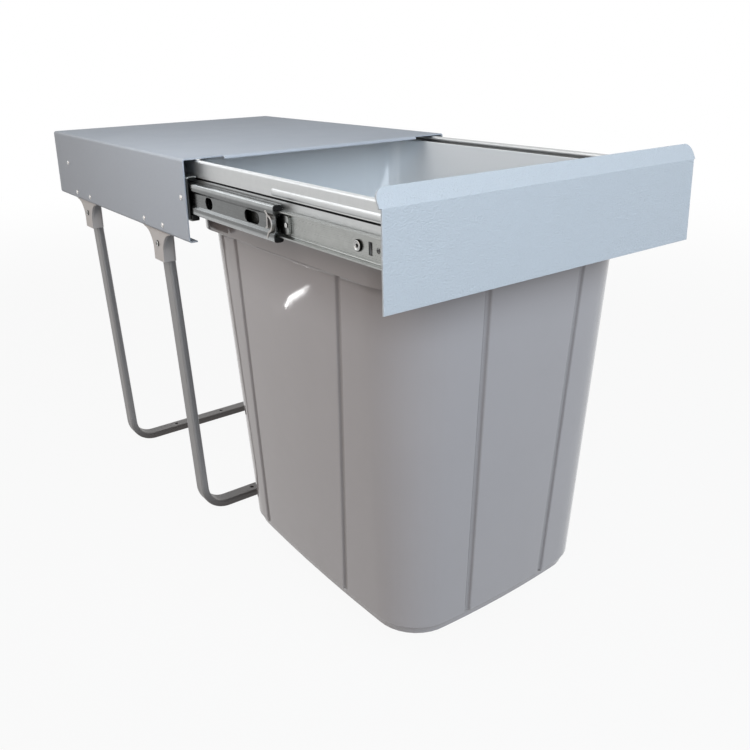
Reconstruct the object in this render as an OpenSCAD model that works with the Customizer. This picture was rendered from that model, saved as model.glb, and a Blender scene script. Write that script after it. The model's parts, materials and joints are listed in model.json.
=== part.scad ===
// Pull out bin frame: a sheet cover on two U legs, with a drawer on ball slides that carries a bin.
// The floor is Z = 0, the front faces -Y, and the origin is the middle of the floor screw pattern.

/* [Cover] */
// Width across the cover's side walls
cover_w = 342; // [320:1:400]
// Depth of the cover from front to rear
cover_d = 438; // [425:1:520]
// Height of the cover's side walls
cover_h = 85.5; // [82:0.5:100]
// Height of the cover's top face above the floor
stand_h = 452; // [400:1:520]
// Thickness of the cover's sheet
cover_t = 1.5; // [1:0.1:2]
// Outside radius of the cover's folds
cover_r = 3; // [2.5:0.1:5]
// Width of the inward lips along the cover's lower edges
lip_w = 9.5; // [7:0.5:12]
// Width of the hem at the middle of the front edge
hem_w = 252; // [150:1:280]
// Height of the hem
hem_h = 3.5; // [2.8:0.1:4.5]

/* [Legs] */
// Distance between the front and the rear leg
leg_span = 242; // [200:1:270]
// Distance from the cover's front edge to the front leg
leg_setback = 94; // [70:1:110]
// Width of the leg tube, front to rear
tube_w = 20; // [16:0.5:24]
// Thickness of the leg tube
tube_t = 9; // [8:0.2:12]
// Wall of the leg tube
tube_wall = 1.5; // [1:0.1:2.5]
// Corner radius of the tube's section
tube_r = 3; // [2:0.1:4]
// Inside radius of the bends at the floor
bend_r = 26; // [16:1:40]
// Lean of the leg tubes away from upright, in degrees
leg_lean = 2.8; // [0:0.1:4]
// Gap between the cover's inner wall and the tube's outer face at the bracket's foot
leg_inset = 8; // [6.5:0.1:10]
// Distance between the outer floor screw holes
screw_span = 150; // [100:1:190]
// Radius of the floor screw holes
screw_r = 2.4; // [1.5:0.1:3]

/* [Brackets] */
// Height of the brackets below the cover's lower edge
bracket_drop = 36.5; // [30:0.5:45]
// Width of a bracket at its rivets
bracket_w = 74; // [64:1:80]
// Wall of the socket round the tube
socket_wall = 3.2; // [2:0.1:4]
// Thickness of the bracket's upper plate
bracket_t = 4.5; // [3:0.1:6]
// Distance between a bracket's two rivets
bracket_rivets = 53; // [44:1:54]
// Height of the bracket's plate behind the cover's side
bracket_tuck = 20; // [16:0.5:21]

/* [Slides] */
// Height of the slide's outer member
slide_h = 45; // [43:0.1:47]
// Thickness of the closed slide
slide_t = 12.7; // [12.3:0.1:14]
// Length of the outer and the drawer member
slide_len = 404; // [400:1:415]
// Sheet of the slide's members
member_t = 1.2; // [1:0.1:1.4]
// Height of the slide's middle member
mid_h = 32.2; // [31:0.1:33]
// Length of the middle member
mid_len = 386; // [350:1:396]
// Height of the drawer member
inner_h = 22.9; // [22:0.1:24]
// Distance from the cover's top face down to the slide's middle line
slide_drop = 39.7; // [36:0.1:42]
// Running gap between parts that move past each other
run_gap = 0.3; // [0.2:0.05:0.4]
// Balls in each row of a cage
row_balls = 8; // [4:1:12]
// Length of a ball cage
cage_len = 160; // [120:1:170]

/* [Drawer] */
// How far the drawer stands out from its closed place
pulled = 328; // [0:1:340]
// Width of the front panel
panel_w = 357; // [340:1:420]
// Distance from the cover's top face down to the panel's lower edge
panel_drop = 77; // [60:1:95]
// Thickness of the panel's sheet
panel_t = 1.5; // [1:0.1:2.5]
// Height of the panel's top strip along its slope
strip_h = 15; // [10:0.5:20]
// Lean of the top strip, in degrees
strip_lean = 25; // [10:1:30]
// Gap between the closed panel and the cover
panel_gap = 9.2; // [8.8:0.1:12]
// Sheet of the carrier rails
rail_t = 1.2; // [1:0.1:1.6]
// Gap between the cover's top face and the rails' top
rail_drop = 2.1; // [2:0.1:4]
// Radius of the rails' rolled top edge
roll_r = 2.9; // [2:0.1:3.2]
// Distance from the front of the rail to the bead's rounded rear end
bead_len = 181; // [100:1:300]
// Depth of the groove along the rails
groove_d = 4; // [2:0.1:5]
// Height of the groove
groove_h = 1.6; // [1:0.1:2.4]

/* [Bin] */
// Length of the bin over its rim
rim_l = 389; // [375:0.5:395]
// Side gap between the rim and the rails
rim_gap = 1.3; // [0.8:0.1:2]
// Overhang of the rim past the collar
rim_over = 4.5; // [3.5:0.1:6]
// Gap between the collar and the ledges that carry the rim
ledge_gap = 1.2; // [0.9:0.1:2]
// Thickness of the rim
rim_t = 3.2; // [2.5:0.1:4]
// Wall of the bin
bin_wall = 2; // [1.5:0.1:2.5]
// Distance from the cover's top face down to the rim's top
rim_drop = 7.8; // [7:0.1:9]
// Height of the plain collar below the rim
collar_h = 65; // [40:1:80]
// Step from the collar in to the fluted wall
collar_step = 2.7; // [2:0.1:4]
// Height of the bin's base above the floor
bin_lift = 31; // [28:1:50]
// Height of the recessed foot
foot_h = 9; // [5:0.5:14]
// Inset of the foot from the wall
foot_inset = 4.5; // [3:0.1:7]
// Width of the bin at the bottom of its wall
floor_w = 248; // [230:1:262]
// Length of the bin at the bottom of its wall
floor_l = 315; // [300:1:345]
// Outward bow of the fluted walls
bow = 2.5; // [0:0.1:3]
// Width of a flute
flute_w = 7; // [4:0.5:10]
// Depth of a flute
flute_d = 2.6; // [1:0.1:3]
// Distance of the end walls' flutes from the middle
flute_x = 57; // [40:1:60]
// Distance of the side walls' flutes from the middle
flute_y = 91; // [60:1:94]
// Rearward drift of the side walls' flutes from the collar down to the foot
flute_drift = 18; // [0:1:18]

/* [Hidden] */
$fn = 48;
eps = 0.01;
cut = 1;

// Cover
wall_x = cover_w / 2 - cover_t;
cover_front = -leg_span / 2 - leg_setback;
cover_floor = stand_h - cover_h;
notch_gap = 1;

// Legs: the centre line of a tube, from the run on the floor round the bend and up into the bracket
centre_r = bend_r + tube_t / 2;
bracket_foot = cover_floor - bracket_drop;
foot_x = wall_x - leg_inset - tube_t / 2 / cos(leg_lean);
bend_top = tube_t / 2 + centre_r * (1 - sin(leg_lean));
bend_x = foot_x - (bracket_foot - bend_top) * tan(leg_lean) - centre_r * cos(leg_lean);
tube_short = 4;
least_r = 0.5;
tube_top = cover_floor - tube_short;
leg_len = (tube_top - bend_top) / cos(leg_lean);
screw_clear = 0.06;

// Brackets
socket_gap = 0.15;
socket_step = 1.5;
socket_open = 0.5;
socket_roof = 0.8;
socket_short = 1;
socket_out = wall_x - socket_step;
socket_in = foot_x - tube_t / 2 + socket_open;
socket_w = tube_w + 2 * (socket_gap + socket_wall);
flare_r = (bracket_w - socket_w) / 2;
socket_r = 3;
plate_r = 3;
plate_lap = 2;
socket_screw_rise = 20;
socket_screw_z = bracket_foot + socket_screw_rise;
bracket_rivet_low = 1.5;

// Rivets and screws
rivet_r = 1.8;
rivet_head_r = 3.4;
rivet_head_h = 1.5;
screw_head_r = 4.8;
screw_head_h = 2;
rivet_front = 16;
rivet_rear = 11;
slide_rivets = [rivet_front, slide_len - rivet_rear];

// Slide sections: u runs from the cover's wall inwards, and z from the slide's middle line
slide_z = stand_h - slide_drop;
member_r = 1;
outer_reach = 9.6;
outer_turn = 2.6;
web_half = 6.2;
web_slope = 2.6;
band_gap = 0.8;
web_depth = 2.2;
mid_short = 2.1;
flange_gap = 0.5;
band_u = member_t + band_gap;
web_u = band_u + web_depth;
mid_reach = slide_t - mid_short;
inner_reach = web_u + member_t + flange_gap;
ball_r = (slide_h / 2 - member_t - mid_h / 2) / 2 - run_gap;
ball_z = (slide_h / 2 - member_t + mid_h / 2) / 2;
ball_shift = 0.4;
ball_u = outer_reach / 2 + ball_shift;
small_ball_r = (mid_h / 2 - member_t - inner_h / 2) / 2 - run_gap;
small_ball_z = (mid_h / 2 - member_t + inner_h / 2) / 2;
small_ball_u = (inner_reach + mid_reach) / 2;
cage_t = 0.8;
cage_edge = 0.5;

// Slides along Y with the drawer closed
outer_proud = 5;
mid_proud = 7;
inner_proud = 6;
outer_front = cover_front - outer_proud;
mid_front = cover_front - mid_proud;
inner_front = cover_front - inner_proud;
end_cap = 1.5;
end_plug = 8;
stop_len = 14;
stop_out = 3.5;
slot_edge = 0.5;
slot_h = 2 * (web_half - slot_edge);
mid_slots = [[28.5, 56], [121, 137]];
inner_screw_front = 52.5;
inner_screw_rear = 27.2;
inner_slot_at = 37.3;
inner_slot_w = 4.8;
inner_slot_h = 10.2;
inner_hole_at = 27.6;
inner_hole_r = 2.4;
lever_at = 152.5;
lever_t = 2.6;
lever_hub_l = 13.5;
lever_hub_h = 16;
lever_hub_r = 2.8;
lever_hub_rear = 10.5;
lever_neck_h = 10;
lever_len = 50;
lever_tail_r = 3;
lever_pin_r = 1.9;
pin_head_over = 0.4;
pin_head_h = 0.6;
cage_outer_back = 112;
cage_inner_back = 106;
cage_outer_from = cover_front + cage_outer_back;
cage_inner_from = cover_front + cage_inner_back;

// Spring catch on the middle member: a bow and a straight finger, placed from the member's front end
catch_w = 1.8;
catch_bow_r = 7;
catch_bow_at = [9.5, -0.8];
catch_bow_from = 100;
catch_bow_turn = 160;
catch_head = [12.7, 9.7];
catch_tip = [10.2, -3.8];
catch_hook = [12.2, -4.4];
catch_foot = [10.9, -12.6];

// Drawer with the drawer closed
panel_back = cover_front - panel_gap;
panel_low = stand_h - panel_drop;
strip_drop = 2;
strip_over = 2;
strip_r = 9;
strip_low = stand_h - strip_drop;
rail_x = wall_x - slide_t;
rail_top = stand_h - rail_drop;
rail_corner = 9;
rail_low = slide_z - inner_h / 2;
flange_w = 18;
front_room = 7.5;
rear_room = 2.3;
bead_r = 5;
bead_out = 1.1;
bead_drop = 15;
groove_drop = 19.2;
bead_z = stand_h - bead_drop;
groove_z = stand_h - groove_drop;
skin_x = rail_x + rail_t;

// Bin, centred between the rails
rim_w = 2 * (skin_x - 2 * roll_r - rim_gap);
bin_y = panel_back + rail_t + front_room + rim_l / 2;
rim_top = stand_h - rim_drop;
seat_z = rim_top - rim_t - run_gap;
bar_y = bin_y + rim_l / 2 + rear_room;
rail_len = bar_y + rail_t - panel_back;
inner_screws = [inner_screw_front, min(slide_len, rail_len) - inner_screw_rear];
collar_low = rim_top - rim_t - collar_h;
wall_low = bin_lift + foot_h;
corner_steps = 9;
rim_hx = rim_w / 2;
rim_hy = rim_l / 2;
top_hx = rim_hx - rim_over;
top_hy = rim_hy - rim_over;
collar_draft = 1.5;
low_hx = top_hx - collar_draft;
low_hy = top_hy - collar_draft;
wall_hx = low_hx - collar_step - bow;
wall_hy = low_hy - collar_step - bow;
base_hx = floor_w / 2 - bow;
base_hy = floor_l / 2 - bow;
foot_hx = base_hx - foot_inset;
foot_hy = base_hy - foot_inset;
ledge_w = skin_x - rail_t - top_hx - ledge_gap;
bar_ledge = rear_room + rim_over - ledge_gap;
bar_gap = 0.5;
rim_r = 56;
collar_r = 52;
wall_r = 66;
base_r = 48;
foot_r = 44;
edge_r = 1;
shelf_h = 1.5;
flute_fade = 4;

// A rounded rectangle with its lower left corner at the origin
module round_box(w, h, r) {
    translate([r, 0]) square([w - 2 * r, h]);
    translate([0, r]) square([w, h - 2 * r]);
    for (x = [r, w - r], y = [r, h - r]) translate([x, y]) circle(r);
}

// A section drawn in X and Z, run along Y from y0
module along_y(y0, len) {
    translate([0, y0 + len, 0]) rotate([90, 0, 0]) linear_extrude(len) children();
}

// A slide section in u and z, on the left side
module slide_run(y0, len) {
    translate([-wall_x, 0, slide_z]) along_y(y0, len) children();
}

// An outline drawn in Y and Z, given its depth along X from x0
module across_x(x0, depth) {
    translate([x0, 0, 0]) rotate([90, 0, 90]) linear_extrude(depth) children();
}

// A pin along X from x0
module pin_x(x0, len, r) {
    translate([x0, 0, 0]) rotate([0, 90, 0]) cylinder(h = len, r = r);
}

// A rivet or screw on the left side whose domed head stands on the face at x0 and points outwards
module rivet_x(x0, len, head_r = rivet_head_r, head_h = rivet_head_h) {
    dome_r = (head_r ^ 2 + head_h ^ 2) / (2 * head_h);
    pin_x(x0, len, rivet_r - screw_clear);
    intersection() {
        translate([x0 - head_h + dome_r, 0, 0]) sphere(dome_r);
        pin_x(x0 - head_h, head_h, head_r);
    }
}

module other_side(right) {
    if (right) mirror([1, 0, 0]) children();
    else children();
}

// Cover
module cover_section() {
    difference() {
        translate([-cover_w / 2, cover_floor]) round_box(cover_w, cover_h, cover_r);
        translate([-wall_x, cover_floor + cover_t])
            round_box(2 * wall_x, cover_h - 2 * cover_t, cover_r - cover_t);
        translate([lip_w - cover_w / 2, cover_floor - eps])
            square([cover_w - 2 * lip_w, cover_t + 2 * eps]);
    }
}

module hem_section() {
    intersection() {
        difference() {
            translate([-hem_h, stand_h - 2 * hem_h]) round_box(2 * hem_h, 2 * hem_h, hem_h - eps);
            translate([cover_t - hem_h, stand_h - 2 * hem_h + cover_t])
                round_box(2 * (hem_h - cover_t), 2 * (hem_h - cover_t), hem_h - cover_t - eps);
        }
        translate([-hem_h, stand_h - hem_h]) square(hem_h);
    }
}

module cover() {
    color([0.62, 0.64, 0.67])
    difference() {
        union() {
            along_y(cover_front, cover_d) cover_section();
            translate([0, cover_front, 0]) across_x(-hem_w / 2, hem_w) hem_section();
        }
        for (side = [0, 1]) mirror([side, 0, 0]) {
            for (y = bracket_ys()) {
                translate([-wall_x, y - bracket_w / 2 - notch_gap, cover_floor - eps])
                    cube([lip_w, bracket_w + 2 * notch_gap, cover_r + 2 * eps]);
                for (dy = bracket_rivet_ys()) translate([0, y + dy, bracket_rivet_z()])
                    pin_x(-cover_w / 2 - cut, cover_t + 2 * cut, rivet_r);
            }
            for (y = slide_rivets) translate([0, outer_front + y, slide_z])
                pin_x(-cover_w / 2 - cut, cover_t + 2 * cut, rivet_r);
        }
    }
}

// Legs
module tube_section(shrink) {
    w = tube_t - 2 * shrink;
    d = tube_w - 2 * shrink;
    translate([-w / 2, -d / 2]) round_box(w, d, max(tube_r - shrink, least_r));
}

module tube_half(shrink) {
    translate([-bend_x - eps, 0, tube_t / 2]) rotate([0, 90, 0])
        linear_extrude(bend_x + 2 * eps) tube_section(shrink);
    translate([-bend_x, 0, tube_t / 2 + centre_r]) {
        rotate([90, 0, 0]) rotate([0, 0, 180 + leg_lean])
            rotate_extrude(angle = 90 - leg_lean) translate([centre_r, 0]) tube_section(shrink);
        rotate([0, -leg_lean, 0]) translate([-centre_r, 0, 0])
            linear_extrude(leg_len + (shrink > 0 ? cut : 0)) tube_section(shrink);
    }
}

module leg(y) {
    color([0.55, 0.55, 0.55])
    translate([0, y, 0])
    difference() {
        for (side = [0, 1]) mirror([side, 0, 0]) tube_half(0);
        for (side = [0, 1]) mirror([side, 0, 0]) tube_half(tube_wall);
        for (x = [-1, 0, 1]) translate([x * screw_span / 2, 0, -cut])
            cylinder(h = tube_t + 2 * cut, r = screw_r);
        for (side = [0, 1]) mirror([side, 0, 0]) translate([0, 0, socket_screw_z])
            pin_x(-foot_x - tube_t, tube_t, rivet_r);
    }
}

// Brackets
function bracket_ys() = [-leg_span / 2, leg_span / 2];
function bracket_rivet_ys() = [-bracket_rivets / 2, bracket_rivets / 2];
function bracket_rivet_z() = cover_floor + bracket_tuck / 2 - bracket_rivet_low;

module bracket_outline() {
    plate_low = cover_floor - plate_lap;
    flare_low = plate_low - flare_r;
    translate([-bracket_w / 2, plate_low]) round_box(bracket_w, bracket_tuck + plate_lap, plate_r);
    translate([-bracket_w / 2, plate_low]) square([bracket_w, bracket_tuck / 2]);
    translate([-socket_w / 2, bracket_foot]) square([socket_w, cover_floor - bracket_foot]);
    difference() {
        translate([-bracket_w / 2, flare_low]) square([bracket_w, flare_r]);
        for (s = [-1, 1]) translate([s * bracket_w / 2, flare_low]) circle(flare_r);
    }
}

module bracket(y, right) {
    hole_t = tube_t + 2 * socket_gap;
    hole_w = tube_w + 2 * socket_gap;
    hole_h = tube_top - bracket_foot + socket_roof;
    color([0.69, 0.66, 0.65])
    other_side(right)
    translate([0, y, 0])
    difference() {
        union() {
            intersection() {
                across_x(-wall_x, bracket_t) bracket_outline();
                translate([-wall_x, -bracket_w, cover_floor])
                    cube([bracket_t, 2 * bracket_w, bracket_tuck]);
            }
            intersection() {
                across_x(-socket_out, socket_out - socket_in) bracket_outline();
                union() {
                    translate([-socket_out, -bracket_w, bracket_foot])
                        cube([bracket_t - socket_step, 2 * bracket_w, bracket_drop]);
                    translate([-socket_out, -socket_w / 2, bracket_foot])
                        linear_extrude(bracket_drop - socket_short)
                        round_box(socket_out - socket_in, socket_w, socket_r);
                }
            }
        }
        translate([-foot_x, 0, bracket_foot]) rotate([0, -leg_lean, 0])
            translate([-hole_t / 2, -hole_w / 2, -tube_t]) cube([hole_t, hole_w, tube_t + hole_h]);
        translate([0, 0, socket_screw_z]) pin_x(-socket_out - cut, socket_out - foot_x, rivet_r);
        for (dy = bracket_rivet_ys()) translate([0, dy, bracket_rivet_z()])
            pin_x(-wall_x - cut, bracket_t + 2 * cut, rivet_r);
    }
}

module socket_screws() {
    color([0.8, 0.8, 0.8])
    for (side = [0, 1], y = bracket_ys()) mirror([side, 0, 0]) translate([0, y, socket_screw_z])
        rivet_x(-socket_out, socket_out - foot_x);
}

module rivets(right) {
    color([0.8, 0.8, 0.8])
    other_side(right) {
        for (y = bracket_ys(), dy = bracket_rivet_ys()) translate([0, y + dy, bracket_rivet_z()])
            rivet_x(-cover_w / 2, cover_t + bracket_t);
        for (y = slide_rivets) translate([0, outer_front + y, slide_z])
            rivet_x(-cover_w / 2, cover_t + member_t);
    }
}

// Slides
module outer_section() {
    mouth_h = slide_h - 2 * outer_turn;
    difference() {
        translate([0, -slide_h / 2]) round_box(2 * slide_t, slide_h, member_r + member_t);
        translate([member_t, member_t - slide_h / 2])
            round_box(outer_reach - 2 * member_t, slide_h - 2 * member_t, member_r);
        translate([outer_reach / 2, -mouth_h / 2]) square([2 * slide_t, mouth_h]);
        translate([outer_reach, -slide_h]) square([2 * slide_t, 2 * slide_h]);
    }
}

module mid_section() {
    web_end = web_half + web_slope;
    upper = [[web_u, web_half], [band_u, web_end], [band_u, mid_h / 2], [mid_reach, mid_h / 2],
             [mid_reach, mid_h / 2 - member_t], [band_u + member_t, mid_h / 2 - member_t],
             [band_u + member_t, web_end + member_t / 2], [web_u + member_t, web_half + member_t / 2]];
    lower = [for (i = [len(upper) - 1 : -1 : 0]) [upper[i][0], -upper[i][1]]];
    intersection() {
        polygon(concat(upper, lower));
        translate([band_u, -mid_h / 2]) round_box(2 * slide_t, mid_h, member_r + member_t);
    }
}

module inner_section() {
    difference() {
        translate([-slide_t, -inner_h / 2]) round_box(2 * slide_t, inner_h, member_r + member_t);
        translate([-slide_t - member_t, member_t - inner_h / 2])
            round_box(2 * slide_t, inner_h - 2 * member_t, member_r);
        translate([inner_reach - 2 * slide_t, -inner_h]) square([2 * slide_t, 2 * inner_h]);
    }
}

// A slot through a web, long along Y from y0 to y1
module web_slot(y0, y1, h) {
    end_r = min(h, y1 - y0) / 2 - eps;
    translate([0, y0, slide_z - h / 2]) across_x(-wall_x - cut, slide_t + 2 * cut)
        round_box(y1 - y0, h, end_r);
}

module outer(right) {
    color([0.6, 0.6, 0.58])
    other_side(right)
    difference() {
        slide_run(outer_front, slide_len) outer_section();
        for (y = slide_rivets) translate([0, outer_front + y, slide_z])
            pin_x(-wall_x - cut, member_t + 2 * cut, rivet_r);
    }
}

module stop(right) {
    stop_low = slide_h / 2 - member_t;
    stop_h = stop_low - mid_h / 2 - run_gap;
    stop_w = outer_reach - 2 * member_t;
    color([0.1, 0.1, 0.1])
    other_side(right)
    slide_run(outer_front - stop_out, stop_len)
        translate([member_t, -stop_low]) round_box(stop_w, stop_h, member_r);
}

module mid(right) {
    color([0.66, 0.66, 0.64])
    other_side(right)
    translate([0, -pulled / 2, 0])
    difference() {
        slide_run(mid_front, mid_len) mid_section();
        for (s = mid_slots) web_slot(mid_front + s[0], mid_front + s[1], slot_h);
    }
}

// Plugs in the upper and the lower channel of the middle member, each with a cap over the sheet's end
module end_piece(right) {
    plug_low = inner_h / 2 + run_gap;
    color([0.1, 0.1, 0.1])
    other_side(right)
    translate([0, -pulled / 2, 0])
    for (flip = [0, 1]) translate([0, 0, slide_z]) mirror([0, 0, flip]) translate([0, 0, -slide_z]) {
        slide_run(mid_front - end_cap, end_cap)
        intersection() {
            translate([band_u, -mid_h / 2]) round_box(mid_reach - band_u, mid_h, member_r + member_t);
            translate([0, plug_low]) square(slide_t);
        }
        slide_run(mid_front - eps, end_plug)
            translate([band_u + member_t + member_r, plug_low])
            square([mid_reach - band_u - 2 * member_t - member_r, mid_h / 2 - member_t - plug_low]);
    }
}

// A straight stroke with round ends, from point p to point q
module stroke(p, q) {
    d = q - p;
    translate(p) rotate([0, 0, atan2(d[1], d[0])]) translate([0, -catch_w / 2]) square([norm(d), catch_w]);
    for (end = [p, q]) translate(end) circle(catch_w / 2);
}

module catch_outline() {
    bow_end = catch_bow_from + catch_bow_turn;
    bow_top = catch_bow_at + catch_bow_r * [cos(catch_bow_from), sin(catch_bow_from)];
    bow_low = catch_bow_at + catch_bow_r * [cos(bow_end), sin(bow_end)];
    difference() {
        translate(catch_bow_at) circle(catch_bow_r + catch_w / 2);
        translate(catch_bow_at) circle(catch_bow_r - catch_w / 2);
        translate([bow_top[0], -mid_h]) square(2 * mid_h);
    }
    stroke(bow_top, catch_head);
    stroke([catch_tip[0], bow_top[1]], catch_tip);
    stroke(catch_tip, catch_hook);
    stroke(bow_low, catch_foot);
}

// All that lies behind the middle member's outer face
module behind_mid() {
    web_end = web_half + web_slope;
    polygon([[web_u, -web_half], [band_u, -web_end], [band_u, -mid_h], [slide_t, -mid_h],
             [slide_t, mid_h], [band_u, mid_h], [band_u, web_end], [web_u, web_half]]);
}

// Spring catch: it lies on the middle member's web and laps onto the bands above and below
module catch(right) {
    face_u = member_t + run_gap;
    color([0.1, 0.1, 0.1])
    other_side(right)
    translate([0, mid_front - pulled / 2, 0])
    difference() {
        translate([0, 0, slide_z]) across_x(-wall_x + face_u, web_u - face_u) catch_outline();
        slide_run(-mid_h, 3 * mid_h) behind_mid();
    }
}

// A row of balls in a flat strip, above and below the slide's middle line
module cage(from, shift, u, z, r, right) {
    strip_w = 2 * (r + cage_edge);
    color([0.75, 0.75, 0.73])
    other_side(right)
    translate([-wall_x + u, from - shift, slide_z])
    for (s = [-1, 1]) translate([0, 0, s * z]) {
        translate([-strip_w / 2, 0, -cage_t / 2]) cube([strip_w, cage_len, cage_t]);
        for (i = [0 : row_balls - 1]) translate([0, (i + 0.5) * cage_len / row_balls, 0]) sphere(r);
    }
}

module cage_outer(right) { cage(cage_outer_from, pulled / 4, ball_u, ball_z, ball_r, right); }
module cage_inner(right) {
    cage(cage_inner_from, pulled * 3 / 4, small_ball_u, small_ball_z, small_ball_r, right);
}

module inner(right) {
    color([0.62, 0.62, 0.6])
    other_side(right)
    translate([0, -pulled, 0])
    difference() {
        slide_run(inner_front, slide_len) inner_section();
        for (y = inner_screws) translate([0, inner_front + y, slide_z])
            pin_x(-rail_x - 2 * member_t, 3 * member_t, rivet_r);
        translate([0, inner_front + inner_hole_at, slide_z])
            pin_x(-rail_x - 2 * member_t, 3 * member_t, inner_hole_r);
        translate([0, inner_front + lever_at, slide_z])
            pin_x(-rail_x - 2 * member_t, 3 * member_t, lever_pin_r);
        drawer_slot();
    }
}

// The slot near the front, through the drawer member's web and the rail behind it
module drawer_slot() {
    translate([-rail_x - 2 * member_t, inner_front + inner_slot_at, slide_z])
        translate([0, -inner_slot_w / 2, -inner_slot_h / 2])
        cube([2 * member_t + rail_t + cut, inner_slot_w, inner_slot_h]);
}

// Release lever: a rounded hub on its pin with a tapering tail behind it
module lever(right) {
    color([0.1, 0.1, 0.1])
    other_side(right)
    translate([0, inner_front + lever_at - pulled, slide_z])
    across_x(-rail_x - member_t - run_gap - lever_t, lever_t)
    difference() {
        union() {
            translate([lever_hub_rear - lever_hub_l, -lever_hub_h / 2])
                round_box(lever_hub_l, lever_hub_h, lever_hub_r);
            translate([lever_len, 0]) circle(lever_tail_r);
            polygon([[0, lever_neck_h / 2], [0, -lever_neck_h / 2],
                     [lever_len, -lever_tail_r], [lever_len, lever_tail_r]]);
        }
        circle(lever_pin_r + screw_clear);
    }
}

// Drawer
module rail_section() {
    groove_low = groove_z - groove_h;
    translate([-skin_x, groove_z]) square([rail_t, rail_top - roll_r - groove_z]);
    translate([roll_r - skin_x, rail_top - roll_r]) circle(roll_r);
    translate([-skin_x, seat_z - rail_t]) square([rail_t + ledge_w, rail_t]);
    translate([-skin_x, groove_z]) square([groove_d + rail_t, rail_t]);
    translate([groove_d - skin_x, groove_low - rail_t]) square([rail_t, groove_h + 2 * rail_t]);
    translate([-rail_x, groove_low - rail_t]) square([groove_d, rail_t]);
    translate([-rail_x, rail_low]) square([rail_t, groove_low - rail_low]);
}

module rail(right) {
    color([0.86, 0.87, 0.88])
    other_side(right)
    translate([0, -pulled, 0])
    difference() {
        union() {
            along_y(panel_back, rail_len) rail_section();
            translate([-rail_x, panel_back, rail_low])
                cube([flange_w, rail_t, groove_z - groove_h - rail_low]);
            translate([bead_r - bead_out - skin_x, panel_back, bead_z]) rotate([-90, 0, 0]) {
                intersection() {
                    union() {
                        cylinder(h = bead_len, r = bead_r);
                        translate([0, 0, bead_len]) sphere(bead_r);
                    }
                    translate([-2 * bead_r, -bead_r, 0])
                        cube([bead_r + bead_out + rail_t / 2, 2 * bead_r, bead_len + bead_r]);
                }
            }
        }
        for (y = inner_screws) translate([0, inner_front + y, slide_z])
            pin_x(-rail_x - cut, rail_t + 2 * cut, rivet_r);
        drawer_slot();
        translate([0, inner_front + inner_hole_at, slide_z])
            pin_x(-rail_x - cut, rail_t + 2 * cut, inner_hole_r);
        translate([0, inner_front + lever_at, slide_z])
            pin_x(-rail_x - cut, rail_t + 2 * cut, lever_pin_r);
        translate([0, panel_back + rail_len - rail_corner, rail_top - rail_corner])
        across_x(-skin_x - cut, 2 * (roll_r + cut))
        difference() {
            square(2 * rail_corner);
            circle(rail_corner);
        }
    }
}

module rail_screws(right) {
    pin_face = -rail_x - member_t - 2 * run_gap - lever_t;
    color([0.8, 0.8, 0.8])
    other_side(right)
    translate([0, inner_front - pulled, slide_z]) {
        for (y = inner_screws) translate([0, y, 0])
            rivet_x(-rail_x - member_t, member_t + rail_t, screw_head_r, screw_head_h);
        translate([0, lever_at, 0]) {
            pin_x(pin_face, rail_t - rail_x - pin_face, lever_pin_r - screw_clear);
            pin_x(pin_face - pin_head_h, pin_head_h, lever_pin_r + pin_head_over);
        }
    }
}

module rear_bar() {
    bar_x = skin_x - groove_d - rail_t;
    bar_top = seat_z - rail_t;
    ledge_x = skin_x - rail_t - ledge_w - bar_gap;
    color([0.86, 0.87, 0.88])
    translate([0, -pulled, 0]) {
        translate([-bar_x, bar_y, rail_low]) cube([2 * bar_x, rail_t, bar_top - rail_low]);
        translate([-ledge_x, bar_y - bar_ledge, seat_z - rail_t])
            cube([2 * ledge_x, bar_ledge + rail_t, rail_t]);
    }
}

module panel() {
    strip_w = panel_w + 2 * strip_over;
    color([0.72, 0.76, 0.81])
    translate([0, panel_back - panel_t - pulled, 0]) {
        translate([-panel_w / 2, 0, panel_low]) cube([panel_w, panel_t, strip_low - panel_low]);
        translate([-panel_w / 2, panel_t / 2, strip_low]) pin_x(0, panel_w, panel_t / 2);
        translate([0, panel_t / 2, strip_low]) rotate([90 - strip_lean, 0, 0])
            translate([0, 0, -panel_t / 2]) linear_extrude(panel_t)
            intersection() {
                translate([-strip_w / 2, -strip_r]) round_box(strip_w, strip_h + strip_r, strip_r);
                translate([-strip_w / 2, 0]) square([strip_w, strip_h]);
            }
    }
}

// Bin: closed rings of points, from the foot up the outside, over the rim and down the inside.
// One side of a ring in its own (outward, along) directions: flute, middle, flute, then the corner.
// The flutes draw in with the wall's taper.
function flute_at(t, p) = [t - p, t - p / 2, t + p / 2, t + p];
function side_ts(at, drift) = concat(
    flute_at(drift - at, flute_w / 2),
    [drift - at / 2, drift, drift + at / 2],
    flute_at(drift + at, flute_w / 2));
function in_flute(i) = (i == 1 || i == 2 || i == 8 || i == 9) ? 1 : 0;
function side_pts(out, half, r, at, drift, swell, groove) = concat(
    [let (ts = side_ts(at, drift)) for (i = [0 : len(ts) - 1])
        [out + swell * (1 - (ts[i] / (half - r)) ^ 2) - groove * in_flute(i), ts[i]]],
    [for (i = [0 : corner_steps]) let (a = 90 * i / corner_steps)
        [out - r + r * cos(a), half - r + r * sin(a)]]);
function turned(p, k, z) = k == 0 ? [p[0], p[1], z] : k == 1 ? [-p[1], p[0], z]
    : k == 2 ? [-p[0], -p[1], z] : [p[1], -p[0], z];
function drift_at(z) = flute_drift * (collar_low - z) / (collar_low - wall_low);
function ring(hx, hy, r, z, swell, groove) = [for (k = [0 : 3])
    let (out = k % 2 == 0 ? hx : hy, half = k % 2 == 0 ? hy : hx,
         at = k % 2 == 0 ? flute_y * hy / wall_hy : flute_x * hx / wall_hx,
         drift = k == 0 ? drift_at(z) : k == 2 ? -drift_at(z) : 0)
    for (p = side_pts(out, half, r, at, drift, swell, groove)) turned(p, k, z)];

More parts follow.
